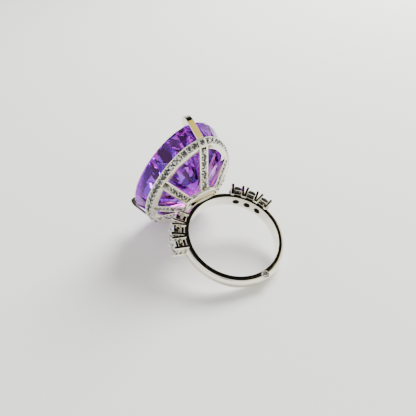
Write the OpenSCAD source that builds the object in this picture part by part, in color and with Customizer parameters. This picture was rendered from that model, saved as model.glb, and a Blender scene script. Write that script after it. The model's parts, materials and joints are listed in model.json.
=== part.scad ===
// Cocktail ring with a large faceted centre stone in an open basket, lying on its side.
// Every sub-part is drawn in the ring's own axes: the origin is the centre of the finger
// bore, Y is the finger axis, X runs along the width and Z points at the centre stone.
// at_rest() then lays the whole ring on its side, as it lies on a table, with +Z up.

/* [Finger band] */
// Inside diameter of the finger bore
bore_d = 17.3; // [16.5:0.1:21]
// Width of the band along the finger
band_w = 2.6; // [2:0.1:3.6]
// Height of the flat side of the band
band_side_h = 0.85; // [0.75:0.05:1.2]
// Height of the rounded crown above the flat side
band_dome_h = 0.55; // [0.3:0.05:0.7]

/* [Basket] */
// Length of the basket along the finger
basket_len = 25; // [22:0.5:28]
// Width of the basket across the finger
basket_w = 19.4; // [17:0.2:22]
// How much the outline narrows towards the front end, 0 is a plain oval
basket_taper = 0.18; // [0:0.02:0.3]
// Height of the gallery rail's upper edge above the band
rail_rise = 5.25; // [4.75:0.05:6.5]
// Height of the gallery rail
rail_h = 1.4; // [1.3:0.1:1.8]
// How far the rail's face leans in from its upper edge to its lower edge
rail_lean = 0.8; // [0.4:0.1:1]
// Thickness of the gallery rail
rail_t = 1.1; // [0.9:0.1:1.4]
// Width of each strut
strut_w = 1.85; // [1.6:0.05:2]
// Thickness of each strut
strut_t = 1.0; // [0.9:0.05:1.2]

/* [Centre stone] */
// Height of the girdle above the gallery rail
girdle_rise = 3.2; // [2.8:0.1:3.8]
// How far the girdle stands out past the rail
girdle_flare = 0.3; // [0:0.05:0.5]
// Height of the crown
crown_h = 2.2; // [1.8:0.1:2.6]
// Size of the table as a share of the girdle
table_ratio = 0.56; // [0.5:0.02:0.64]

/* [Claws] */
// Width of each claw
claw_w = 1.4; // [1.2:0.1:1.8]
// Thickness of each claw
claw_t = 0.6; // [0.5:0.05:0.7]

/* [Side stones] */
// Diameter of each side stone
side_stone_d = 2.6; // [2.2:0.1:2.7]
// Angle of the first side stone from the centre stone
side_first = 40.5; // [40:0.5:44]
// Angle between neighbouring side stones
side_step = 15.5; // [15:0.5:17]

/* [Pave] */
// Diameter of each pave stone
pave_d = 1.0; // [0.9:0.05:1.05]
// Spacing of the pave stones
pave_pitch = 1.2; // [1.18:0.01:1.3]
// Diameter of the grains that hold the pave stones
grain_d = 0.32; // [0.28:0.02:0.34]

/* [Hidden] */
$fn = 48;
fit_gap = 0.02;

// Band: a D-shaped section whose crown is an arc through three points.
bore_r = bore_d / 2;
band_side_r = bore_r + band_side_h;
band_top_r = band_side_r + band_dome_h;
dome_r = (pow(band_w / 2, 2) + pow(band_dome_h, 2)) / (2 * band_dome_h);

// Outline of the basket: a closed curve by angle, 0 at the front end and 90 at +X.
half_len = basket_len / 2;
half_w = basket_w / 2;
outline_steps = 96;
function egg(t, a, b) = [a * sin(t) * (1 - basket_taper * cos(t)), -b * cos(t)];
function egg_inset(t, inset) = egg(t, half_w - inset, half_len - inset);
function egg_heading(t) =
    let (ahead = egg_inset(t + 1, 0), behind = egg_inset(t - 1, 0))
    atan2(ahead[1] - behind[1], ahead[0] - behind[0]);

// Places of the basket's members around the outline.
rear_claw_t = 126;
claw_places = [0, rear_claw_t, -rear_claw_t];
rail_top = band_top_r + rail_rise;
rail_bottom = rail_top - rail_h;
face_h = norm([rail_lean, rail_h]);
face_lean = atan2(rail_lean, rail_h);

// Collar between the band and the struts, longer at the back than at the front.
collar_a = 3.9;
collar_b = 3.8;
collar_back = 0.7;
collar_top = band_top_r + 0.85;
collar_base = band_top_r - 0.3;
collar_steps = 48;
foot_in_a = 0.5;
foot_in_b = 0.7;
foot_a = collar_a - foot_in_a;
foot_b = collar_b - foot_in_b;
foot_drop = 0.45;

// Each strut by the angle of its head on the rail and of its foot on the collar.
front = [0, 0];
side_a = [67, 66];
side_b = [102, 115];
side_c = [rear_claw_t, 150];
back = [180, 180];
struts = [front, side_a, side_b, side_c, back, -side_a, -side_b, -side_c];
head_in = rail_lean + 0.22;
head_rise = strut_t / 2 - 0.06;
strut_pave_start = 0.5;
strut_pave_end = 0.5;

// Pave channel: a groove with a smooth lip on each side.
groove_depth = 0.38;
groove_w = pave_d + 0.08;
pave_girdle_h = 0.08;
pave_crown_h = 0.2;
pave_sink = 0.04;
pave_culet_d = 0.2;
grain_rise = 0.1;
pad_depth = 0.6;
pad_over = 0.4;
lip_w = (face_h - groove_w) / 2;

// Centre stone.
girdle_z = rail_top + girdle_rise;
girdle_h = 0.3;
stone_seat_z = rail_top + 0.05;
seat_inset = rail_t + 0.05;
culet_z = collar_top + 0.4;
table_z = girdle_z + girdle_h + crown_h;
culet_share = 0.04;
bezel_rise = 0.41;
bezel_share = 0.84;
stone_sides = 32;

// Claws lean out from the rail to the girdle and hook over the crown. The profile is drawn
// from the rail's upper outer edge: outwards, then up.
claw_gap = 0.06;
claw_in = girdle_flare + claw_gap;
claw_out = claw_in + claw_t + 0.09;
claw_profile = [
    [0, 0],
    [claw_out, girdle_rise + 0.35],
    [claw_out + 0.08, girdle_rise + 1.4],
    [claw_in + 0.4, girdle_rise + 2.1],
    [claw_in - 0.2, girdle_rise + 2.2],
    [claw_in - 1.36, girdle_rise + 1.6],
    [claw_in - 1.51, girdle_rise + 1.14],
    [claw_in, girdle_rise + girdle_h + claw_gap],
    [claw_in, girdle_rise - 0.05],
    [-claw_t, 0]];

// Side settings: for each stone a square base on the band and a square seat, open between
// them, with a claw at each corner.
side_girdle_r = band_top_r + 1.35;
side_table_rise = 0.5;
side_table_d = side_stone_d * 0.58;
side_girdle_h = 0.1;
side_culet_drop = 1.1;
side_culet_d = 0.3;
seat_top_r = side_girdle_r - 0.35;
seat_h = 0.4;
base_top_r = band_top_r + 0.1;
azure_r = 0.68;
side_claw_x = 1.05;
side_claw_y = 1.2;
side_claw_d = 0.6;
side_claw_foot_r = band_side_r - 0.25;
side_claw_top_r = side_girdle_r + 0.75;

// Accent stone set in the side of the band, opposite the centre stone.
accent_d = 1.0;
accent_rim_d = 1.5;
accent_r = bore_r + 0.05 + accent_rim_d / 2;
accent_rim_proud = 0.16;
accent_depth = 0.5;
accent_rise = 0.08;

// Rest: the ring lies on the rail's upper edge and the edge of the band.
rest_tilt = atan2(half_len - band_w / 2, rail_top + band_side_r);
rest_turn = -(90 - rest_tilt);

// ---- helpers ----

// Lays the ring on its side, with the bore centre at the origin.
module at_rest() {
    rotate([rest_turn, 0, 0]) children();
}

// Turns +Z to point out of the band at an angle from the centre stone.
module around_band(angle) {
    rotate([0, angle, 0]) children();
}

module egg_2d(inset) {
    polygon([for (i = [0:outline_steps - 1]) egg_inset(i * 360 / outline_steps, inset)]);
}

// Puts +Z along the outward normal of the basket's outline, with X along the outline.
module on_outline(t, z, inset) {
    p = egg_inset(t, inset);
    translate([p[0], p[1], z]) rotate([0, 0, egg_heading(t)]) rotate([90, 0, 0]) children();
}

// Puts +Z square out of the rail's leaning face, at half its height, with Y up the face.
module on_face(t) {
    on_outline(t, rail_top - rail_h / 2, rail_lean / 2) rotate([face_lean, 0, 0]) children();
}

// ---- band ----

module band_section() {
    translate([bore_r, -band_w / 2]) square([band_side_h, band_w]);
    intersection() {
        translate([band_side_r, -band_w / 2]) square([band_dome_h, band_w]);
        translate([band_top_r - dome_r, 0]) circle(r = dome_r, $fn = 96);
    }
}

module band_ring() {
    rotate([90, 0, 0]) rotate_extrude($fn = 144) band_section();
}

// The band without its bore, to fit other pieces on to it.
module band_blank() {
    band_ring();
    rotate([90, 0, 0]) cylinder(r = bore_r + band_side_h / 2, h = band_w, center = true, $fn = 144);
}

module band() {
    color("silver") difference() {
        band_ring();
        for (side = [-1, 1], i = [0:2])
            around_band(side * (side_first + i * side_step)) cylinder(r = azure_r, h = band_top_r + 1);
        translate([0, -band_w / 2 - 1, -accent_r]) rotate([-90, 0, 0])
            cylinder(d = accent_rim_d, h = accent_depth + 1);
    }
}

// ---- basket ----

module collar() {
    color("silver") difference() {
        collar_block();
        band_blank();
    }
}

// The collar as a straight oval prism with true flat ends.
module collar_block() {
    translate([0, collar_back, collar_base]) linear_extrude(height = collar_top - collar_base)
        polygon([for (i = [0:collar_steps - 1]) let (turned = i * 360 / collar_steps)
            [collar_a * cos(turned), collar_b * sin(turned)]]);
}

// A point of the rail's section by the distance down its face and the depth behind the face,
// as an inset from the outline and a height.
function behind_face(down, depth) = [
    down * sin(face_lean) + depth * cos(face_lean),
    rail_top - down * cos(face_lean) + depth * sin(face_lean)];
rail_section = [
    behind_face(0, 0),
    behind_face(lip_w, 0),
    behind_face(lip_w, groove_depth),
    behind_face(face_h - lip_w, groove_depth),
    behind_face(face_h - lip_w, 0),
    behind_face(face_h, 0),
    [rail_lean + rail_t, rail_bottom],
    [rail_t, rail_top]];

// The rail's section carried round the outline, as a closed loop.
module rail_loop() {
    corners = len(rail_section);
    points = [for (i = [0:outline_steps - 1], corner = rail_section)
        let (p = egg_inset(i * 360 / outline_steps, corner[0])) [p[0], p[1], corner[1]]];
    polyhedron(points = points, faces = [for (i = [0:outline_steps - 1], k = [0:corners - 1], half = [0, 1])
        let (next = (i + 1) % outline_steps, below = (k + 1) % corners, far = next * corners + below)
        half == 0 ? [i * corners + k, next * corners + k, far]
            : [i * corners + k, far, i * corners + below]]);
}

module gallery_rail() {
    color("silver") difference() {
        rail_loop();
        for (t = claw_places) on_face(t) pad_block(strut_w / 2 + fit_gap);
    }
}

// The notch behind the rail's face for a strut's pad, by its half width. It runs past the
// rail's edges, to cut it clean through.
module pad_block(half_width) {
    translate([-half_width, -face_h / 2 - pad_over, -pad_depth])
        cube([2 * half_width, face_h + 2 * pad_over, pad_depth + pad_over]);
}

// A strut's foot on the collar and its head under the rail.
function foot_of(strut) =
    [foot_a * sin(strut[1]), collar_back - foot_b * cos(strut[1]), collar_top + strut_t / 2 - foot_drop];
function head_of(strut) =
    let (p = egg_inset(strut[0], head_in)) [p[0], p[1], rail_bottom + head_rise];
function strut_len(strut) = norm(head_of(strut) - foot_of(strut));
function strut_pave_len(strut) = strut_len(strut) - strut_pave_start - strut_pave_end;

// Puts the children in a strut's axes: X across it, Y up along it, Z out of its face.
module along_strut(strut) {
    d = head_of(strut) - foot_of(strut);
    translate(foot_of(strut)) rotate([0, 0, atan2(d[1], d[0]) - 90])
        rotate([atan2(d[2], norm([d[0], d[1]])), 0, 0]) rotate([0, 180, 0]) children();
}

module strut_bar(strut) {
    difference() {
        along_strut(strut) difference() {
            translate([-strut_w / 2, 0, -strut_t / 2]) cube([strut_w, strut_len(strut) + rail_t, strut_t]);
            translate([-groove_w / 2, strut_pave_start, strut_t / 2 - groove_depth])
                cube([groove_w, strut_pave_len(strut), strut_t]);
        }
        translate([0, 0, rail_bottom]) linear_extrude(height = 4) egg_2d(-3);
        collar_block();
    }
}

// A claw's strut also covers the rail's face, up to the foot of the claw, with a stone of its own.
module strut_with_pad(strut) {
    strut_bar(strut);
    difference() {
        on_face(strut[0]) difference() {
            translate([-strut_w / 2, -face_h / 2 - pad_over, -pad_depth])
                cube([strut_w, face_h + pad_over, pad_depth]);
            translate([0, 0, -groove_depth]) cylinder(d = groove_w, h = pad_depth);
        }
        translate([0, 0, rail_bottom - 2]) linear_extrude(height = 2) egg_2d(-3);
        translate([0, 0, rail_top]) linear_extrude(height = 2) egg_2d(-3);
    }
}

// ---- claws ----

module claw(t) {
    color("silver") on_outline(t, rail_top, 0) rotate([0, -90, 0])
        linear_extrude(height = claw_w, center = true) polygon(claw_profile);
}

// ---- centre stone ----

// The stone as stacked rings of the outline: culet, pavilion, girdle, crown and table.
// Each level is a height, an inset from the rail's outline and a share of the whole size.
module centre_stone_body(grow) {
    out = -girdle_flare - grow;
    levels = [
        [culet_z - grow, out, culet_share],
        [stone_seat_z - grow, seat_inset - grow, 1],
        [girdle_z, out, 1],
        [girdle_z + girdle_h, out, 1],
        [girdle_z + girdle_h + crown_h * bezel_rise, out, bezel_share],
        [table_z, out, table_ratio]];
    points = [for (level = levels, i = [0:stone_sides - 1])
        let (p = egg_inset(i * 360 / stone_sides, level[1]) * level[2]) [p[0], p[1], level[0]]];
    last = len(levels) - 1;
    polyhedron(points = points, faces = concat(
        [[for (i = [0:stone_sides - 1]) i]],
        [for (k = [0:last - 1], i = [0:stone_sides - 1])
            [k * stone_sides + i, (k + 1) * stone_sides + i, (k + 1) * stone_sides + (i + 1) % stone_sides,
             k * stone_sides + (i + 1) % stone_sides]],
        [[for (i = [stone_sides - 1:-1:0]) last * stone_sides + i]]));
}

module centre_stone() {
    color("purple") centre_stone_body(0);
}

// ---- side stones ----

module round_stone(d, table_d, girdle, crown, culet_drop, culet_d) {
    cylinder(d = d, h = girdle);
    translate([0, 0, girdle]) cylinder(d1 = d, d2 = table_d, h = crown);
    translate([0, 0, -culet_drop]) cylinder(d1 = culet_d, d2 = d, h = culet_drop);
}

module side_stone(angle) {
    color("white") around_band(angle) translate([0, 0, side_girdle_r]) round_stone(
        side_stone_d, side_table_d, side_girdle_h, side_table_rise, side_culet_drop, side_culet_d);
}

module side_setting(angle) {
    color("silver") difference() {
        around_band(angle) difference() {
            union() {
                side_plate(side_claw_foot_r, base_top_r);
                side_plate(seat_top_r - seat_h, seat_top_r);
                for (sx = [-1, 1], sy = [-1, 1]) side_claw(sx, sy);
            }
            cylinder(r = azure_r, h = band_top_r + 3);
            translate([0, 0, side_girdle_r - side_culet_drop])
                cylinder(d1 = side_culet_d, d2 = side_stone_d + 2 * fit_gap, h = side_culet_drop);
            translate([0, 0, side_girdle_r - 0.001])
                cylinder(d = side_stone_d + 2 * fit_gap, h = side_girdle_h + 0.002);
            translate([0, 0, side_girdle_r + side_girdle_h]) cylinder(d1 = side_stone_d + 2 * fit_gap,
                d2 = side_table_d, h = side_table_rise);
        }
        band_blank();
    }
}

module side_plate(base, top) {
    translate([-side_claw_x, -side_claw_y, base]) cube([2 * side_claw_x, 2 * side_claw_y, top - base]);
}

module side_claw(sx, sy) {
    translate([sx * side_claw_x, sy * side_claw_y, side_claw_foot_r])
        cylinder(d = side_claw_d, h = side_claw_top_r - side_claw_foot_r, $fn = 24);
}

// ---- pave ----

module pave_stone() {
    translate([0, 0, -pave_sink]) {
        cylinder(d = pave_d, h = pave_girdle_h, $fn = 16);
        translate([0, 0, pave_girdle_h]) cylinder(d1 = pave_d, d2 = pave_d * 0.6, h = pave_crown_h, $fn = 16);
        translate([0, 0, -(groove_depth - pave_sink)])
            cylinder(d1 = pave_culet_d, d2 = pave_d, h = groove_depth - pave_sink, $fn = 16);
    }
}

// A grain is a short post on the floor of the groove, with flat sides.
module grain() {
    translate([0, 0, -groove_depth]) cylinder(d = grain_d, h = groove_depth + grain_rise, $fn = 8);
}

module grain_pair() {
    for (s = [-1, 1]) translate([0, s * (groove_w - grain_d) / 2, 0]) grain();
}

// Angles around the outline at equal steps of length along the middle of the rail's face.
arc_step = 2;
function face_place(t) = egg_inset(t, rail_lean / 2);
function arc_to(t) = t <= 0 ? 0 :
    arc_to(t - arc_step) + norm(face_place(t) - face_place(t - arc_step));
half_arc = arc_to(180);
function angle_at(s, t = 0, run = 0) =
    let (piece = norm(face_place(t + arc_step) - face_place(t)))
    run + piece >= s ? t + arc_step * (s - run) / piece : angle_at(s, t + arc_step, run + piece);

// Pave runs on each side between the front claw, the rear claw and the back end.
front_run = arc_to(rear_claw_t) - strut_w;
back_run = half_arc - arc_to(rear_claw_t) - strut_w / 2;
front_count = floor(front_run / pave_pitch);
back_count = floor(back_run / pave_pitch);
front_start = strut_w / 2 + (front_run - front_count * pave_pitch) / 2;
back_start = half_arc - back_count * pave_pitch;

module on_rail(s, side) {
    mirror([side < 0 ? 1 : 0, 0, 0]) on_face(angle_at(s)) children();
}

module rail_pave() {
    color("white") for (side = [-1, 1]) {
        for (i = [0:front_count - 1]) on_rail(front_start + (i + 0.5) * pave_pitch, side) pave_stone();
        for (i = [0:back_count - 1]) on_rail(back_start + (i + 0.5) * pave_pitch, side) pave_stone();
    }
}

module rail_grains() {
    color("silver") {
        for (side = [-1, 1]) {
            for (i = [1:front_count - 1]) on_rail(front_start + i * pave_pitch, side) grain_pair();
            for (i = [1:back_count - 1]) on_rail(back_start + i * pave_pitch, side) grain_pair();
        }
        on_rail(half_arc - 0.001, 1) grain_pair();
    }
}

function strut_count(strut) = floor(strut_pave_len(strut) / pave_pitch);

// Puts the children at a step along a strut's face, counted in stones.
module along_pave(strut, i) {
    step = strut_pave_len(strut) / strut_count(strut);
    along_strut(strut) translate([0, strut_pave_start + (i + 0.5) * step, strut_t / 2]) children();
}

module strut_pave() {
    color("white") {
        for (strut = struts, i = [0:strut_count(strut) - 1]) along_pave(strut, i) pave_stone();
        for (t = claw_places) on_face(t) pave_stone();
    }
}

module strut_grains() {
    color("silver") for (strut = struts, i = [1:strut_count(strut) - 1])
        along_pave(strut, i - 0.5) rotate([0, 0, 90]) grain_pair();
}

// ---- accent stone ----

module at_accent() {
    translate([0, -band_w / 2, -accent_r]) rotate([90, 0, 0]) children();
}

module accent_rim() {
    color("silver") at_accent() translate([0, 0, -accent_depth]) difference() {
        cylinder(d = accent_rim_d, h = accent_depth + accent_rim_proud);
        translate([0, 0, accent_depth / 4]) cylinder(d = accent_d + 2 * fit_gap, h = accent_depth + 1);
    }
}

module accent_stone() {
    drop = accent_depth * 0.75 - 0.05;
    color("white") at_accent() translate([0, 0, -0.05])
        round_stone(accent_d, accent_d * 0.6, 0.05, accent_rise + 0.15, drop, 0.2);
}

// ---- the nodes ----

at_rest() band();
at_rest() collar();
at_rest() gallery_rail();
at_rest() color("silver") strut_with_pad(front);  // strut_front
at_rest() color("silver") strut_bar(back);  // strut_back
at_rest() color("silver") strut_bar(side_a);  // strut_right_a
at_rest() color("silver") strut_bar(side_b);  // strut_right_b
at_rest() color("silver") strut_with_pad(side_c);  // strut_right_c
at_rest() color("silver") strut_bar(-side_a);  // strut_left_a
at_rest() color("silver") strut_bar(-side_b);  // strut_left_b
at_rest() color("silver") strut_with_pad(-side_c);  // strut_left_c
at_rest() claw(0);  // claw_front
at_rest() claw(rear_claw_t);  // claw_right
at_rest() claw(-rear_claw_t);  // claw_left
at_rest() centre_stone();
at_rest() side_setting(side_first);  // side_setting_right_1
at_rest() side_setting(side_first + side_step);  // side_setting_right_2
at_rest() side_setting(side_first + 2 * side_step);  // side_setting_right_3
at_rest() side_setting(-side_first);  // side_setting_left_1
at_rest() side_setting(-side_first - side_step);  // side_setting_left_2
at_rest() side_setting(-side_first - 2 * side_step);  // side_setting_left_3
at_rest() side_stone(side_first);  // side_stone_right_1
at_rest() side_stone(side_first + side_step);  // side_stone_right_2
at_rest() side_stone(side_first + 2 * side_step);  // side_stone_right_3
at_rest() side_stone(-side_first);  // side_stone_left_1
at_rest() side_stone(-side_first - side_step);  // side_stone_left_2
at_rest() side_stone(-side_first - 2 * side_step);  // side_stone_left_3
at_rest() rail_pave();
at_rest() rail_grains();
at_rest() strut_pave();
at_rest() strut_grains();
at_rest() accent_rim();
at_rest() accent_stone();
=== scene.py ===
import json
import math
import random

import bmesh
import bpy
from mathutils import Matrix, Vector


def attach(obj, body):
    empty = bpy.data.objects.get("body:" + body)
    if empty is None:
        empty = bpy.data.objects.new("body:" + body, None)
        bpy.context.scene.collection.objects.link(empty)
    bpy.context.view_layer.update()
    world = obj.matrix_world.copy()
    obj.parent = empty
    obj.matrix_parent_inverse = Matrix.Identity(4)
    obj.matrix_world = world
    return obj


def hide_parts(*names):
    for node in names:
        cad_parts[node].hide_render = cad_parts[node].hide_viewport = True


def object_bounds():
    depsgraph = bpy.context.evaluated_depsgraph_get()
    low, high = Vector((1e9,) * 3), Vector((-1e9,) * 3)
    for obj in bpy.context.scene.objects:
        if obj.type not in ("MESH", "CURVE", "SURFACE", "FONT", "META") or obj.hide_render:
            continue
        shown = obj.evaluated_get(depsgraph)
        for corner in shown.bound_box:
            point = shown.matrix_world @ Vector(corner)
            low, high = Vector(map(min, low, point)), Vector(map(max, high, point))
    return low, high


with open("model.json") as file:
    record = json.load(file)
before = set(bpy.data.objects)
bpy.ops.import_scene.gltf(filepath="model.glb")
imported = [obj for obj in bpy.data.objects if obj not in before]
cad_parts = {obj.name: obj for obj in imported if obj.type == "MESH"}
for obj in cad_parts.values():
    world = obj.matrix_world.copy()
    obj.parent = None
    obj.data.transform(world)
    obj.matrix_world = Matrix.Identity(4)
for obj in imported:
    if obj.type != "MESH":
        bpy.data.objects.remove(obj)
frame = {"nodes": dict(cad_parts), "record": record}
cad_low, cad_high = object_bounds()
collection = bpy.context.scene.collection

# ---- the frame, measured ----

BORE = frame["record"]["mounts"][0]
FINGER_AXIS = Vector(BORE["axis"])
TO_PART = Matrix.Rotation(math.atan2(FINGER_AXIS.z, FINGER_AXIS.y), 4, "X") @ Matrix.Scale(0.001, 4)
FROM_PART = TO_PART.inverted()


def ring_box(node):
    """Lowest and highest corner of a CAD node in the ring's axes."""
    points = [FROM_PART @ v.co for v in frame["nodes"][node].data.vertices]
    low = Vector(min(p[i] for p in points) for i in range(3))
    high = Vector(max(p[i] for p in points) for i in range(3))
    return low, high


def ring_angle(node):
    """Angle of a CAD node's middle around the band, from the centre stone towards +X."""
    low, high = ring_box(node)
    middle = (low + high) / 2
    return math.degrees(math.atan2(middle.x, middle.z))


def cos_deg(degrees):
    return math.cos(math.radians(degrees))


def sin_deg(degrees):
    return math.sin(math.radians(degrees))


bore_r = BORE["dims"]["r_mm"]
band_low, band_high = ring_box("band")
band_w = band_high.y - band_low.y
band_top_r = band_high.x
band_side_h = 0.85
band_side_r = bore_r + band_side_h

rail_low, rail_high = ring_box("gallery_rail")
rail_top = rail_high.z
rail_bottom = rail_low.z
rail_h = rail_top - rail_bottom
rail_t = 1.1
rail_lean = 0.8
face_h = math.hypot(rail_lean, rail_h)
face_lean = math.degrees(math.atan2(rail_lean, rail_h))
half_len = rail_high.y
basket_taper = 0.18
# The outline's widest place, from which its half width follows.
widest_t = next(t for t in range(90, 180) if cos_deg(t) < basket_taper * cos_deg(2 * t))
half_w = rail_high.x / (sin_deg(widest_t) * (1 - basket_taper * cos_deg(widest_t)))

collar_low, collar_high = ring_box("collar")
collar_top = collar_high.z
collar_base = collar_low.z
collar_a = collar_high.x
collar_b = (collar_high.y - collar_low.y) / 2
collar_back = (collar_high.y + collar_low.y) / 2

stone_low, stone_high = ring_box("centre_stone")
culet_z = stone_low.z
table_z = stone_high.z
girdle_flare = stone_high.y - half_len
crown_h = 2.2
girdle_h = 0.3
girdle_z = table_z - crown_h - girdle_h
seat_z = rail_top + 0.05
seat_inset = rail_t + 0.05
table_ratio = 0.56
bezel_share = 0.84

rear_claw_t = 126
claw_w = 1.4
claw_t = 0.6
claw_gap = 0.06
claw_edge = 0.16
strut_t = 1.0
strut_w = ring_box("strut_front")[1].x * 2
foot_in_a = 0.5
foot_in_b = 0.7
foot_drop = 0.45
head_in = rail_lean + 0.22
head_rise = strut_t / 2 - 0.06

pave_d = 1.0
pave_girdle_h = 0.08
pave_crown_h = 0.2
pave_sink = 0.04
pave_pitch = 1.2
pave_start = 0.5
pave_end = 0.5
grain_d = 0.32
bead_d = 0.44
small_bead_d = 0.36
small_bead_out = 0.06
groove_depth = 0.38
groove_w = pave_d + 0.08
lip_w = (face_h - groove_w) / 2

side_stone_d = 2.6
side_crown_h = 0.5
side_girdle_h = 0.1
side_culet_drop = 1.1
side_girdle_r = band_top_r + 1.35
side_claw_x = 1.05
side_claw_y = 1.2
side_claw_d = 0.6
side_claw_foot_r = band_side_r - 0.25
side_claw_top_r = side_girdle_r + 0.75
base_top_r = band_top_r + 0.1
seat_top_r = side_girdle_r - 0.35
seat_h = 0.4
azure_r = 0.68
side_names = [f"{side}_{i}" for side in ("right", "left") for i in (1, 2, 3)]
SIDE_ANGLES = {name: ring_angle("side_stone_" + name) for name in side_names}

accent_low, accent_high = ring_box("accent_rim")
accent_rim_d = accent_high.x * 2
accent_d = 1.0
accent_crown_h = 0.2
accent_pavilion_h = 0.32
accent_girdle_h = 0.05
accent_sink = 0.05
accent_r = -(accent_low.z + accent_high.z) / 2
accent_depth = 0.5
accent_proud = band_low.y - accent_low.y

# ---- shapes ----


class Shape:
    """Points and faces of one piece, in ring millimetres."""

    def __init__(self):
        self.points = []
        self.faces = []

    def add(self, part, place=Matrix()):
        points, faces = part
        start = len(self.points)
        self.points += [place @ Vector(p) for p in points]
        self.faces += [tuple(start + i for i in face) for face in faces]
        return self


def loft(rings, closed=False, caps=True):
    """Skin over rings of points, capped at both ends unless the rings close on themselves."""
    count = len(rings[0])
    points = [p for ring in rings for p in ring]
    faces = []
    for k in range(len(rings) if closed else len(rings) - 1):
        a = k * count
        b = (k + 1) % len(rings) * count
        for i in range(count):
            j = (i + 1) % count
            faces.append((a + i, a + j, b + j, b + i))
    if caps and not closed:
        faces.append(tuple(reversed(range(count))))
        faces.append(tuple(range(len(points) - count, len(points))))
    return points, faces


def turned(profile, sides, closed=False):
    """A profile of (radius, height) pairs turned about Z."""
    rings = []
    for r, z in profile:
        rings.append([(r * math.cos(a), r * math.sin(a), z)
                      for a in (2 * math.pi * i / sides for i in range(sides))])
    return loft(rings, closed)


def arc(centre, radius, start, end, steps):
    """Points of an arc in a plane, from one angle to another in degrees."""
    angles = [math.radians(start + (end - start) * i / steps) for i in range(steps + 1)]
    return [(centre[0] + radius * math.cos(a), centre[1] + radius * math.sin(a)) for a in angles]


def rounded(corners, radius, steps=3):
    """A closed outline with each of its corners rounded."""
    outline = []
    for i, corner in enumerate(corners):
        here = Vector(corner)
        before = (Vector(corners[i - 1]) - here).normalized() * radius
        after = (Vector(corners[(i + 1) % len(corners)]) - here).normalized() * radius
        for k in range(steps + 1):
            s = k / steps
            outline.append(tuple(here + before * (1 - s) ** 2 + after * s ** 2))
    return outline


def squarish(half_x, half_y, z, sides=32, power=6):
    """A ring of points around a rounded rectangle, or an ellipse with power 2."""
    ring = []
    for i in range(sides):
        a = 2 * math.pi * (i + 0.5) / sides
        c, n = math.cos(a), math.sin(a)
        reach = (abs(c) ** power + abs(n) ** power) ** (-1 / power)
        ring.append((half_x * reach * c, half_y * reach * n, z))
    return ring


def bead(radius, sides=10, rows=5):
    """A round bead about the origin."""
    profile = arc((0, 0), radius, -89, 89, rows)
    return turned(profile, sides)


def set_edges(mesh, smooth_under):
    """Shades a mesh smooth, but keeps the edges sharper than an angle."""
    work = bmesh.new()
    work.from_mesh(mesh)
    bmesh.ops.recalc_face_normals(work, faces=work.faces)
    for face in work.faces:
        face.smooth = smooth_under > 0
    for edge in work.edges:
        edge.smooth = edge.calc_face_angle(0) < math.radians(smooth_under)
    work.to_mesh(mesh)
    work.free()


def make_mesh(name, shape, smooth_under):
    mesh = bpy.data.meshes.new(name)
    mesh.from_pydata([TO_PART @ p for p in shape.points], [], shape.faces)
    set_edges(mesh, smooth_under)
    return mesh


def make_piece(name, shape, material, nodes, smooth_under=35):
    """A Blender piece that stands for CAD nodes."""
    mesh = make_mesh(name, shape, smooth_under)
    mesh.materials.append(material)
    piece = bpy.data.objects.new(name, mesh)
    collection.objects.link(piece)
    if smooth_under:
        level = piece.modifiers.new("normals", "WEIGHTED_NORMAL")
        level.keep_sharp = True
    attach(piece, "root")
    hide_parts(*nodes)
    return piece


def carve(piece, shape, smooth_under=35):
    """Cuts a shape out of a piece, its walls painted dark as painted shade."""
    cutter = bpy.data.objects.new("cutter", make_mesh("cutter", shape, 0))
    # The cut walls get the metal painted dark as shade.
    cutter.data.materials.append(painted_hole_shade)
    collection.objects.link(cutter)
    piece.modifiers["normals"].show_viewport = False
    cut = piece.modifiers.new("cut", "BOOLEAN")
    cut.operation = "DIFFERENCE"
    cut.solver = "EXACT"
    cut.material_mode = "TRANSFER"
    cut.object = cutter
    bpy.context.view_layer.update()
    result = bpy.data.meshes.new_from_object(piece.evaluated_get(bpy.context.evaluated_depsgraph_get()))
    piece.modifiers.remove(cut)
    piece.data = result
    piece.modifiers["normals"].show_viewport = True
    bpy.data.objects.remove(cutter)
    set_edges(result, smooth_under)


def trim(mesh, height):
    """Cuts away what lies above a height of the ring's Z, and closes the cut."""
    work = bmesh.new()
    work.from_mesh(mesh)
    place = TO_PART @ Vector((0, 0, height))
    up = (TO_PART.to_3x3() @ Vector((0, 0, 1))).normalized()
    everything = list(work.verts) + list(work.edges) + list(work.faces)
    found = bmesh.ops.bisect_plane(work, geom=everything, plane_co=place, plane_no=up, clear_outer=True)
    rim = [item for item in found["geom_cut"] if isinstance(item, bmesh.types.BMEdge)]
    bmesh.ops.contextual_create(work, geom=rim)
    work.to_mesh(mesh)
    work.free()


def soften(mesh, width, sharper_than):
    """Rounds the sharp edges of a mesh, by a width in metres."""
    work = bmesh.new()
    work.from_mesh(mesh)
    limit = math.radians(sharper_than)
    sharp = [edge for edge in work.edges if edge.calc_face_angle(0) > limit]
    bmesh.ops.bevel(work, geom=sharp, offset=width, segments=3, profile=0.5, affect="EDGES",
                    clamp_overlap=True)
    work.to_mesh(mesh)
    work.free()
    set_edges(mesh, sharper_than)


def join(mesh, extra):
    """Adds a second mesh to a mesh."""
    work = bmesh.new()
    work.from_mesh(mesh)
    work.from_mesh(extra)
    work.to_mesh(mesh)
    work.free()
    bpy.data.meshes.remove(extra)


def turn(axis, degrees):
    return Matrix.Rotation(math.radians(degrees), 4, axis)


def shift(x, y, z):
    return Matrix.Translation((x, y, z))


# ---- the basket's outline ----


def egg(t, inset=0.0):
    """A point on the basket's outline: t is 0 at the front end and 90 at +X."""
    a = math.radians(t)
    x = (half_w - inset) * math.sin(a) * (1 - basket_taper * math.cos(a))
    return Vector((x, -(half_len - inset) * math.cos(a), 0))


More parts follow.
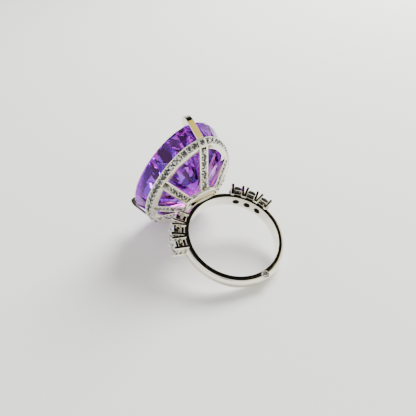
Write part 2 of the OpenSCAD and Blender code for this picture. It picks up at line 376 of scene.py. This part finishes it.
def on_outline(t, z, inset=0.0):
    """Axes on the outline: X along it, Y up and Z out of it."""
    ahead = egg(t + 1) - egg(t - 1)
    heading = math.degrees(math.atan2(ahead.y, ahead.x))
    return Matrix.Translation(egg(t, inset) + Vector((0, 0, z))) @ turn("Z", heading) @ turn("X", 90)


def on_face(t):
    """Axes at half height of the rail's leaning face: X along it, Y up it and Z out of it."""
    return on_outline(t, rail_top - rail_h / 2, rail_lean / 2) @ turn("X", face_lean)


ARC_STEP = 2


def face_step(t):
    """Length of one step along the middle of the rail's face, from t."""
    return (egg(t + ARC_STEP, rail_lean / 2) - egg(t, rail_lean / 2)).length


def face_length(t):
    return sum(face_step(i) for i in range(0, t, ARC_STEP))


def face_t(length):
    """The t that lies a length along the rail's face from the front end."""
    t, run = 0, 0.0
    while run + face_step(t) < length:
        run += face_step(t)
        t += ARC_STEP
    return t + ARC_STEP * (length - run) / face_step(t)


# ---- materials ----


def new_material(name):
    material = bpy.data.materials.new(name)
    material.use_nodes = True
    return material, material.node_tree.nodes, material.node_tree.links


def silver_material():
    """Bright polished white metal with fine polishing marks and a slightly uneven gloss."""
    material, nodes, links = new_material("polished_silver")
    shader = nodes["Principled BSDF"]
    shader.inputs["Metallic"].default_value = 1
    place = nodes.new("ShaderNodeTexCoord")
    cloud = nodes.new("ShaderNodeTexNoise")
    cloud.inputs["Scale"].default_value = 900
    cloud.inputs["Detail"].default_value = 4
    gloss = nodes.new("ShaderNodeMapRange")
    gloss.inputs["To Min"].default_value = 0.03
    gloss.inputs["To Max"].default_value = 0.1
    tone = nodes.new("ShaderNodeValToRGB")
    tone.color_ramp.elements[0].color = (0.83, 0.795, 0.66, 1)
    tone.color_ramp.elements[1].color = (0.955, 0.92, 0.81, 1)
    bump = nodes.new("ShaderNodeBump")
    bump.inputs["Strength"].default_value = 0.04
    bump.inputs["Distance"].default_value = 0.00005
    links.new(place.outputs["Object"], cloud.inputs["Vector"])
    links.new(cloud.outputs["Fac"], gloss.inputs["Value"])
    links.new(cloud.outputs["Fac"], tone.inputs["Fac"])
    links.new(cloud.outputs["Fac"], bump.inputs["Height"])
    links.new(gloss.outputs["Result"], shader.inputs["Roughness"])
    links.new(tone.outputs["Color"], shader.inputs["Base Color"])
    links.new(bump.outputs["Normal"], shader.inputs["Normal"])
    return material


def gem_material(name, ior, stops, interpolation, gloss_tint, inside, mirror):
    """Faceted glass. Each facet leans to its own tint, taken from the stops by its number, which paints
    light, shade and flashes of colour onto the facets, and a share of it mirrors, as a brilliant cut sends
    light back."""
    material, nodes, links = new_material(name)
    shader = nodes["Principled BSDF"]
    shader.inputs["Roughness"].default_value = 0
    shader.inputs["IOR"].default_value = ior
    shader.inputs["Transmission Weight"].default_value = 1
    shader.inputs["Metallic"].default_value = mirror
    shader.inputs["Specular Tint"].default_value = (*gloss_tint, 1)
    facet = nodes.new("ShaderNodeAttribute")
    facet.attribute_name = "facet"
    tone = nodes.new("ShaderNodeValToRGB")
    tone.color_ramp.interpolation = interpolation
    for place, _ in stops[1:-1]:
        tone.color_ramp.elements.new(place)
    for element, (place, color) in zip(tone.color_ramp.elements, stops):
        element.position = place
        element.color = (*color, 1)
    links.new(facet.outputs["Fac"], tone.inputs["Fac"])
    links.new(tone.outputs["Color"], shader.inputs["Base Color"])
    if inside:
        absorb = nodes.new("ShaderNodeVolumeAbsorption")
        absorb.inputs["Color"].default_value = (*inside, 1)
        absorb.inputs["Density"].default_value = 120
        links.new(absorb.outputs["Volume"], nodes["Material Output"].inputs["Volume"])
    return material


def paint_facet_light_and_tint(mesh, seed, low=0.0, high=1.0, below=None):
    """Gives each facet a number of its own, that its colour follows, with the painted light, shade and
    flashes of the stops. A brilliant's pavilion, the last three of each nine facets after its table, may
    have a range from 0 of its own, for pavilion facets painted darker as painted shade."""
    dice = random.Random(seed)
    layer = mesh.attributes.new("facet", "FLOAT", "FACE")
    for i, item in enumerate(layer.data):
        if below is not None and i > 0 and (i - 1) % 9 > 5:
            item.value = dice.uniform(0, below)
        else:
            item.value = dice.uniform(low, high)


def hole_shade_material():
    """Metal painted dark inside drilled holes as painted shade, dull and dark."""
    material, nodes, _ = new_material("drilled_metal_painted_shade")
    shader = nodes["Principled BSDF"]
    shader.inputs["Base Color"].default_value = (0.05, 0.05, 0.045, 1)
    shader.inputs["Metallic"].default_value = 0.6
    shader.inputs["Roughness"].default_value = 0.5
    return material


# Stops of the facets' tints: violet, the stone's own colour, darker and lighter from facet to facet as
# painted shade and painted light, with painted flashes of pink, blue and orange for its fire; and black to
# white for the clear stones, painted shade and painted light.
VIOLET_AND_PAINTED_FIRE_TINTS = [
    (0, (0.1, 0.005, 0.3)),
    (0.2, (0.36, 0.02, 0.62)),
    (0.45, (0.6, 0.08, 0.85)),
    (0.62, (0.88, 0.5, 1)),
    (0.7, (1, 0.1, 0.5)),
    (0.76, (0.5, 0.05, 0.8)),
    (0.84, (0.08, 0.2, 1)),
    (0.9, (0.3, 0.75, 1)),
    (0.94, (0.6, 0.08, 0.85)),
    (1, (1, 0.45, 0.35))]
# Colourless stones: facets painted black to white, as painted shade and painted light.
CLEAR_PAINTED_LIGHT_AND_SHADE_TINTS = [
    (0, (0.02, 0.025, 0.02)),
    (0.45, (0.12, 0.14, 0.12)),
    (0.55, (0.85, 0.87, 0.83)),
    (0.65, (1, 1, 1))]
VIOLET_GLOSS = (0.65, 0.25, 0.95)
VIOLET_INSIDE = (0.72, 0.1, 0.85)
silver = silver_material()
painted_hole_shade = hole_shade_material()
violet = gem_material("violet_gem", 1.75, VIOLET_AND_PAINTED_FIRE_TINTS, "LINEAR", VIOLET_GLOSS, VIOLET_INSIDE, 0)
clear = gem_material("clear_gem", 2.0, CLEAR_PAINTED_LIGHT_AND_SHADE_TINTS, "CONSTANT", (1, 1, 1), None, 0.5)

# ---- band ----


def band():
    """The band turned from a D section with soft edges; its light holes are cut into it afterwards."""
    edge = 0.04
    dome_h = band_top_r - band_side_r
    half = band_w / 2
    dome_r = (half ** 2 + dome_h ** 2) / (2 * dome_h)
    short_of_edge = 3
    spread = math.degrees(math.asin(half / dome_r)) - short_of_edge
    section = arc((bore_r + edge, edge - half), edge, 180, 270, 4)
    section += [(band_side_r - 2 * edge, -half), (band_side_r - edge, -half)]
    section += arc((band_top_r - dome_r, 0), dome_r, -spread, spread, 20)
    section += [(band_side_r - edge, half), (band_side_r - 2 * edge, half)]
    section += arc((bore_r + edge, half - edge), edge, 90, 180, 4)
    # The bore's wall, in even steps.
    section += [(bore_r, half * (1 - edge - 0.2 * k)) for k in range(1, 9)]
    sides = 288
    rings = [[(r * math.sin(a), y, r * math.cos(a)) for r, y in section]
             for a in (2 * math.pi * i / sides for i in range(sides))]
    shape = Shape().add(loft(rings, closed=True))
    return make_piece("band_polished", shape, silver, ["band"])


def around_band(angle):
    return turn("Y", angle)


def light_holes():
    """Cutters for the light holes under the side stones and the pocket of the accent stone."""
    shape = Shape()
    past = 1
    for angle in SIDE_ANGLES.values():
        hole = [(azure_r, bore_r - past), (azure_r, band_top_r + past)]
        shape.add(turned(hole, 40), around_band(angle))
    pocket = accent_rim_d / 2 - 0.02
    shape.add(turned([(pocket, -accent_depth), (pocket, past)], 40), at_accent())
    return shape


def at_accent():
    return shift(0, -band_w / 2, -accent_r) @ turn("X", 90)


carve(band(), light_holes())

# ---- basket ----


def collar():
    """Oval collar with soft edges."""
    edge = 0.18
    levels = [(collar_base, edge), (collar_base + edge, 0), (collar_top - edge, 0),
              (collar_top - 0.3 * edge, 0.3 * edge), (collar_top, edge)]
    rings = [squarish(collar_a - inset, collar_b - inset, z, 64, 2) for z, inset in levels]
    shape = Shape().add(loft(rings), shift(0, collar_back, 0))
    return make_piece("collar_polished", shape, silver, ["collar"])


def behind_face(down, depth):
    """Inset and height of a point by its distance down the rail's face and behind it."""
    inset = down * sin_deg(face_lean) + depth * cos_deg(face_lean)
    height = rail_top - down * cos_deg(face_lean) + depth * sin_deg(face_lean)
    return inset, height


def rail():
    """The rail's section, with soft edges, carried round the outline."""
    corners = [behind_face(0, 0), behind_face(lip_w, 0), behind_face(lip_w, groove_depth),
               behind_face(face_h - lip_w, groove_depth), behind_face(face_h - lip_w, 0),
               behind_face(face_h, 0), (rail_lean + rail_t, rail_bottom), (rail_t, rail_top)]
    edge, sides = 0.09, 192
    section = rounded(corners, edge)
    rings = []
    for i in range(sides):
        rings.append([egg(i * 360 / sides, inset) + Vector((0, 0, z)) for inset, z in section])
    shape = Shape().add(loft(rings, closed=True))
    return make_piece("rail_polished", shape, silver, ["gallery_rail"])


STRUTS = {
    "strut_front": (0, 0),
    "strut_right_a": (67, 66),
    "strut_right_b": (102, 115),
    "strut_right_c": (rear_claw_t, 150),
    "strut_back": (180, 180),
    "strut_left_a": (-67, -66),
    "strut_left_b": (-102, -115),
    "strut_left_c": (-rear_claw_t, -150)}
PADS = {"strut_front": 0, "strut_right_c": rear_claw_t, "strut_left_c": -rear_claw_t}


def strut_ends(strut):
    """Middle of a strut's foot on the collar and of its head under the rail."""
    head_t, foot_t = STRUTS[strut]
    a = math.radians(foot_t)
    foot = Vector(((collar_a - foot_in_a) * math.sin(a),
                   collar_back - (collar_b - foot_in_b) * math.cos(a),
                   collar_top + strut_t / 2 - foot_drop))
    return foot, egg(head_t, head_in) + Vector((0, 0, rail_bottom + head_rise))


def along_strut(strut):
    """A strut's axes, X across it, Y up along it and Z out of its face, and its length."""
    foot, head = strut_ends(strut)
    d = head - foot
    heading = math.degrees(math.atan2(d.y, d.x)) - 90
    slope = math.degrees(math.atan2(d.z, math.hypot(d.x, d.y)))
    return Matrix.Translation(foot) @ turn("Z", heading) @ turn("X", slope) @ turn("Y", 180), d.length


def pad():
    """The end of a claw's strut on the rail's face, with a round seat for its stone."""
    half_x, half_y = strut_w / 2, face_h / 2
    back, proud, edge = -0.5, 0.03, 0.08
    seat = groove_w / 2
    return loft([squarish(half_x, half_y, back), squarish(half_x, half_y, proud - edge),
                 squarish(half_x - edge / 3, half_y - edge / 3, proud - edge / 3),
                 squarish(half_x - edge, half_y - edge, proud),
                 squarish(seat, seat, proud, power=2), squarish(seat, seat, -groove_depth, power=2)])


def strut(name):
    """A bar with a channel in its face, cut off level under the rail."""
    place, length = along_strut(name)
    w, h, g = strut_w / 2, strut_t / 2, groove_w / 2
    edge, past = 0.08, 1
    corners = [(-w, -h), (w, -h), (w, h), (g, h), (g, h - groove_depth), (-g, h - groove_depth),
               (-g, h), (-w, h)]
    section = rounded(corners, edge)
    rings = [[(x, y, z) for x, z in section] for y in (0, length + past)]
    piece = make_piece(name + "_polished", Shape().add(loft(rings), place), silver, [name])
    trim(piece.data, rail_bottom)
    if name in PADS:
        extra = make_mesh("pad", Shape().add(pad(), on_face(PADS[name])), 35)
        join(piece.data, extra)
    set_edges(piece.data, 35)
    return piece


collar()
rail()
for strut_name in STRUTS:
    strut(strut_name)

# ---- claws ----

CLAWS = {"claw_front": 0, "claw_right": rear_claw_t, "claw_left": -rear_claw_t}


def claw(name):
    """A leaning claw with soft edges that hooks over the stone's crown."""
    inner = girdle_flare + claw_gap
    rise = girdle_z - rail_top
    # Out from the rail's edge and up from its top.
    profile = [
        (0, 0),
        (inner + 0.69, rise + 0.35),
        (inner + 0.75, rise + 0.9),
        (inner + 0.74, rise + 1.45),
        (inner + 0.6, rise + 1.85),
        (inner + 0.35, rise + 2.1),
        (inner - 0.2, rise + 2.18),
        (inner - 0.8, rise + 1.95),
        (inner - 1.36, rise + 1.6),
        (inner - 1.51, rise + 1.14),
        (inner, rise + girdle_h + claw_gap),
        (inner, rise - 0.05),
        (-claw_t, 0)]
    half = claw_w / 2
    rings = [[(x, z, out) for out, z in profile] for x in (-half, half)]
    mesh_shape = Shape().add(loft(rings), on_outline(CLAWS[name], rail_top))
    piece = make_piece(name + "_polished", mesh_shape, silver, [name])
    soften(piece.data, claw_edge / 1000, 40)
    return piece


for claw_name in CLAWS:
    claw(claw_name)

# ---- cut stones ----


def cut_ring(share, z, start, count=16, inset=0.0):
    """Corners of one tier of the centre stone, as shares of its size."""
    step = 360 / count
    return [egg((i + start) * step, inset - girdle_flare) * share + Vector((0, 0, z)) for i in range(count)]


def centre_stone():
    """A mixed cut: sixteen mains over a girdle of thirty-two, with a deep pavilion in tiers."""
    mains = 16
    crown_z = girdle_z + girdle_h
    bezel_z = crown_z + crown_h * (1 - bezel_share * cos_deg(180 / mains)) / (1 - table_ratio)
    short_drop, short_in = 1.2, 0.5
    deep_share, deep_rise, deep_in = 0.5, 2.05, 0.6
    culet_share = 0.03
    tiers = {
        "table": cut_ring(table_ratio, table_z, 0.5),
        "bezel": cut_ring(bezel_share, bezel_z, 0),
        "upper": cut_ring(1, crown_z, 0, 2 * mains),
        "lower": cut_ring(1, girdle_z, 0, 2 * mains),
        "short": cut_ring(1, girdle_z - short_drop, 0.5, inset=short_in),
        "seat": cut_ring(1, seat_z, 0, inset=seat_inset + girdle_flare),
        "deep": cut_ring(deep_share, culet_z + deep_rise, 0.5, inset=deep_in),
        "culet": cut_ring(culet_share, culet_z, 0)}
    start, points = {}, []
    for tier, corners in tiers.items():
        start[tier] = len(points)
        points += corners
    faces = [tuple(range(mains)), tuple(reversed(range(start["culet"], start["culet"] + mains)))]

    def face(*corners):
        faces.append(tuple(start[tier] + i % len(tiers[tier]) for tier, i in corners))

    for j in range(mains):
        k = 2 * j
        face(("table", j - 1), ("table", j), ("bezel", j))
        face(("table", j), ("bezel", j), ("upper", k + 1), ("bezel", j + 1))
        face(("bezel", j), ("upper", k - 1), ("upper", k))
        face(("bezel", j), ("upper", k), ("upper", k + 1))
        for i in (k, k + 1):
            face(("upper", i), ("upper", i + 1), ("lower", i + 1), ("lower", i))
        face(("lower", k), ("lower", k + 1), ("short", j))
        face(("lower", k + 1), ("lower", k + 2), ("short", j))
        face(("lower", k), ("short", j - 1), ("seat", j), ("short", j))
        face(("short", j), ("seat", j), ("deep", j), ("seat", j + 1))
        face(("seat", j), ("deep", j - 1), ("culet", j), ("deep", j))
        face(("deep", j), ("culet", j), ("culet", j + 1))
    piece = make_piece("centre_stone_cut", Shape().add((points, faces)), violet,
                       ["centre_stone"], 0)
    # Facets painted darker and lighter violet with flashes of colour: the stone's own colour with painted
    # shade, painted light and painted fire.
    paint_facet_light_and_tint(piece.data, 11)


def brilliant(d, crown, pavilion, girdle, table=0.56):
    """A round stone with eight mains, its girdle's lower edge at z 0."""
    r = d / 2

    def ring(share, z, turned_by, count):
        angles = (2 * math.pi * (i + turned_by) / count for i in range(count))
        return [(r * share * math.cos(a), r * share * math.sin(a), z) for a in angles]

    bezel_w, bezel_rise, deep_w, deep_drop = 0.82, 0.45, 0.42, 0.56
    points = ring(table, girdle + crown, 0.5, 8)
    points += ring(bezel_w, girdle + crown * bezel_rise, 0, 8)
    points += ring(1, girdle, 0, 16)
    points += ring(1, 0, 0, 16)
    points += ring(deep_w, -pavilion * deep_drop, 0.5, 8)
    points.append((0, 0, -pavilion))
    bezel, upper, lower, deep, culet = 8, 16, 32, 48, 56
    faces = [tuple(range(8))]
    for j in range(8):
        here, after, k = j, (j + 1) % 8, 2 * j
        around = [(k + i) % 16 for i in (-1, 0, 1, 2)]
        faces += [
            ((j - 1) % 8, here, bezel + here),
            (here, bezel + here, upper + around[2], bezel + after),
            (bezel + here, upper + around[0], upper + around[1]),
            (bezel + here, upper + around[1], upper + around[2]),
            (upper + around[1], upper + around[2], lower + around[2], lower + around[1]),
            (upper + around[2], upper + around[3], lower + around[3], lower + around[2]),
            (lower + around[1], lower + around[2], deep + here),
            (lower + around[2], lower + around[3], deep + here),
            (lower + around[1], deep + (j - 1) % 8, culet, deep + here)]
    return points, faces


def side_stone(name):
    place = around_band(SIDE_ANGLES[name]) @ shift(0, 0, side_girdle_r)
    stone = brilliant(side_stone_d, side_crown_h, side_culet_drop, side_girdle_h)
    shape = Shape().add(stone, place)
    piece = make_piece(f"side_stone_{name}_cut", shape, clear, ["side_stone_" + name], 0)
    # Facets painted black to white as painted light and shade, the pavilion's facets painted darker as
    # painted shade.
    paint_facet_light_and_tint(piece.data, 3, 0.45, below=0.3)


def square_plate(base, top):
    """A square plate with soft edges around a round light hole."""
    x, y, edge = side_claw_x, side_claw_y, 0.06
    hole = azure_r + 0.02
    wall = [squarish(x, y, base + edge), squarish(x, y, top - edge), squarish(x - edge, y - edge, top)]
    wall += [squarish(r, r, z, power=2) for r, z in ((hole + edge, top), (hole, top - edge),
                                                     (hole, base + edge), (hole + edge, base))]
    return loft(wall + [squarish(x - edge, y - edge, base)], closed=True)


def side_setting(name):
    """A base on the band, a seat under the stone and four claws with domed tips."""
    place = around_band(SIDE_ANGLES[name])
    shape = Shape()
    shape.add(square_plate(side_claw_foot_r, base_top_r), place)
    shape.add(square_plate(seat_top_r - seat_h, seat_top_r), place)
    r = side_claw_d / 2
    dome = arc((0, side_claw_top_r - r), r, 0, 75, 5)
    levels = [(r, side_claw_foot_r), (r, side_girdle_r)] + dome
    prong = loft([squarish(half, half, z, 24, 5) for half, z in levels])
    for sx in (-1, 1):
        for sy in (-1, 1):
            shape.add(prong, place @ shift(sx * side_claw_x, sy * side_claw_y, 0))
    make_piece(f"side_setting_{name}_polished", shape, silver, ["side_setting_" + name])


centre_stone()
for side_name in SIDE_ANGLES:
    side_stone(side_name)
    side_setting(side_name)

# ---- pave ----


def rail_places(offset):
    """Axes of the rail's stones, or of the gaps between them with an offset of half a stone."""
    front_run = face_length(rear_claw_t) - strut_w
    back_run = face_length(180) - face_length(rear_claw_t) - strut_w / 2
    front_count, back_count = int(front_run / pave_pitch), int(back_run / pave_pitch)
    front_start = strut_w / 2 + (front_run - front_count * pave_pitch) / 2
    back_start = face_length(180) - back_count * pave_pitch
    places = []
    for start, count in ((front_start, front_count), (back_start, back_count)):
        steps = range(count) if offset == 0.5 else range(1, count)
        for i in steps:
            t = face_t(start + (i + offset) * pave_pitch)
            places += [on_face(-t), on_face(t)]
    if offset == 0:
        places.append(on_face(180))
    return places


def strut_places(offset):
    """Axes of the stones on all the struts, or of the gaps between them."""
    places = []
    for name in STRUTS:
        place, length = along_strut(name)
        run = length - pave_start - pave_end
        count = int(run / pave_pitch)
        steps = range(count) if offset == 0.5 else range(1, count)
        for i in steps:
            along = pave_start + (i + offset) * run / count
            places.append(place @ shift(0, along, strut_t / 2))
    return places


def pave(name, places, node):
    """Small brilliants set just below the metal's face, each turned its own way."""
    dice = random.Random(5)
    stone = brilliant(pave_d, pave_crown_h, groove_depth - pave_sink, pave_girdle_h, 0.6)
    shape = Shape()
    for place in places:
        shape.add(stone, place @ shift(0, 0, -pave_sink) @ turn("Z", dice.uniform(0, 45)))
    piece = make_piece(name, shape, clear, [node], 0)
    # Facets painted black to white, as painted light and painted shade.
    paint_facet_light_and_tint(piece.data, 7, 0, 0.8)


def grains(name, gaps, stones, node, along):
    """Round beads on both lips of a channel: large ones on stems between the stones, and small
    ones beside them."""
    shape = Shape()
    reach = (groove_w - grain_d) / 2
    beside = groove_w / 2 + small_bead_out
    stem = turned([(grain_d / 2, -groove_depth), (grain_d / 2, 0)], 10)
    for places, d, out, has_stem in ((gaps, bead_d, reach, True), (stones, small_bead_d, beside, False)):
        for place in places:
            for s in (-1, 1):
                spot = shift(0, s * out, 0) if along == "X" else shift(s * out, 0, 0)
                shape.add(bead(d / 2), place @ spot)
                if has_stem:
                    shape.add(stem, place @ spot)
    make_piece(name, shape, silver, [node])


pave("rail_pave_cut", rail_places(0.5), "rail_pave")
grains("rail_grains_polished", rail_places(0), rail_places(0.5), "rail_grains", "X")
pave("strut_pave_cut", strut_places(0.5) + [on_face(t) for t in PADS.values()], "strut_pave")
grains("strut_grains_polished", strut_places(0), strut_places(0.5), "strut_grains", "Y")

# ---- accent stone ----


def accent():
    """A tube rim in the band's side, with a small brilliant."""
    outer, inner, proud = accent_rim_d / 2, accent_d / 2 + 0.02, accent_proud
    profile = [
        (inner, -accent_depth),
        (outer, -accent_depth),
        (outer, proud - 0.1),
        (outer - 0.03, proud - 0.03),
        (outer - 0.1, proud),
        (inner + 0.08, proud),
        (inner + 0.02, proud - 0.03),
        (inner, proud - 0.1)]
    rim = Shape().add(turned(profile, 40, closed=True), at_accent())
    make_piece("accent_rim_polished", rim, silver, ["accent_rim"])
    cut = brilliant(accent_d, accent_crown_h, accent_pavilion_h, accent_girdle_h)
    stone = Shape().add(cut, at_accent() @ shift(0, 0, -accent_sink))
    piece = make_piece("accent_stone_cut", stone, clear, ["accent_stone"], 0)
    # Facets painted mostly white, as painted light.
    paint_facet_light_and_tint(piece.data, 2, 0.5)


accent()

# ---- camera, lights and floor ----

floor_z = cad_low.z

# The camera's place, its view axis pointing back at it, its right-hand side and its lens.
CAMERA_AT = (-43.70, -74.27, -27.18)
CAMERA_AWAY = (-0.467, -0.800, -0.378)
CAMERA_ACROSS = (0.802, -0.202, -0.562)
CAMERA_LENS = 41.17


def add_camera():
    """The camera is placed in the ring's axes, as it sees the ring in the same way however it lies."""
    data = bpy.data.cameras.new("camera")
    data.sensor_width = 36
    data.lens = CAMERA_LENS
    data.clip_start = 0.005
    camera = bpy.data.objects.new("camera", data)
    collection.objects.link(camera)
    away = TO_PART.to_3x3().normalized() @ Vector(CAMERA_AWAY).normalized()
    across = TO_PART.to_3x3().normalized() @ Vector(CAMERA_ACROSS)
    up = away.cross(across).normalized()
    across = up.cross(away)
    camera.location = TO_PART @ Vector(CAMERA_AT)
    camera.rotation_mode = "QUATERNION"
    camera.rotation_quaternion = Matrix((across, up, away)).transposed().to_quaternion()
    bpy.context.scene.camera = camera


def add_floor():
    size = 0.6
    mesh = bpy.data.meshes.new("floor")
    mesh.from_pydata([(-size, -size, floor_z), (size, -size, floor_z), (size, size, floor_z),
                      (-size, size, floor_z)], [], [(0, 1, 2, 3)])
    material, nodes, _ = new_material("pale_floor")
    shader = nodes["Principled BSDF"]
    shader.inputs["Base Color"].default_value = (0.93, 0.935, 0.91, 1)
    shader.inputs["Roughness"].default_value = 0.7
    mesh.materials.append(material)
    floor = bpy.data.objects.new("floor", mesh)
    collection.objects.link(floor)


def add_light(name, location, size, power):
    """A soft light that shines on the origin and that the polished metal doesn't mirror."""
    data = bpy.data.lights.new(name, "AREA")
    data.shape = "DISK"
    data.size = size
    data.energy = power
    light = bpy.data.objects.new(name, data)
    collection.objects.link(light)
    light.location = location
    light.rotation_mode = "QUATERNION"
    light.rotation_quaternion = light.location.to_track_quat("Z", "Y")
    light.visible_glossy = False


# Patches of the studio around the ring: direction from it, half width in degrees and colour.
PATCHES = [
    ((0.49, -0.06, 0.87), 24, (0.005, 0.005, 0.005)),
    ((0.50, -0.33, 0.80), 8, (0.75, 0.58, 0.14)),
    ((0.56, -0.125, 0.82), 2.6, (1.2, 1.1, 0.7)),
    ((-0.55, -0.83, 0.12), 11, (0.10, 0.09, 0.07)),
    ((-0.64, 0.11, 0.76), 15, (0.02, 0.02, 0.02)),
    ((0.0, 0.90, 0.4), 14, (1.6, 1.6, 1.5)),
    ((0.95, -0.25, 0.15), 14, (1.6, 1.55, 1.4)),
    ((-0.75, -0.35, 0.56), 14, (1.4, 1.4, 1.35))]


def add_world():
    """Pale around and dimmer overhead, with a few patches of light and shade."""
    world = bpy.data.worlds.new("studio")
    world.use_nodes = True
    nodes, links = world.node_tree.nodes, world.node_tree.links
    place = nodes.new("ShaderNodeTexCoord")
    split = nodes.new("ShaderNodeSeparateXYZ")
    ramp = nodes.new("ShaderNodeValToRGB")
    ramp.color_ramp.elements[0].position = 0.45
    ramp.color_ramp.elements[0].color = (1, 0.99, 0.95, 1)
    ramp.color_ramp.elements[1].position = 0.72
    ramp.color_ramp.elements[1].color = (0.42, 0.42, 0.41, 1)
    links.new(place.outputs["Generated"], split.inputs["Vector"])
    links.new(split.outputs["Z"], ramp.inputs["Fac"])
    color = ramp.outputs["Color"]
    for direction, spread, tint in PATCHES:
        color = add_patch(nodes, links, place, color, Vector(direction).normalized(), spread, tint)
    links.new(color, nodes["Background"].inputs["Color"])
    nodes["Background"].inputs["Strength"].default_value = 1.5
    bpy.context.scene.world = world


def add_patch(nodes, links, place, below, direction, spread, tint):
    """Lays a round patch over the colours below it."""
    facing = nodes.new("ShaderNodeVectorMath")
    facing.operation = "DOT_PRODUCT"
    facing.inputs[1].default_value = direction
    edge = nodes.new("ShaderNodeMapRange")
    edge.inputs["From Min"].default_value = cos_deg(spread * 1.2)
    edge.inputs["From Max"].default_value = cos_deg(spread * 0.8)
    mix = nodes.new("ShaderNodeMix")
    mix.data_type = "RGBA"
    mix.inputs[7].default_value = (*tint, 1)
    links.new(place.outputs["Generated"], facing.inputs[0])
    links.new(facing.outputs["Value"], edge.inputs["Value"])
    links.new(edge.outputs["Result"], mix.inputs[0])
    links.new(below, mix.inputs[6])
    return mix.outputs[2]


add_camera()
add_floor()
add_world()
add_light("key", (0.34, 0.1, 0.3), 0.3, 5)
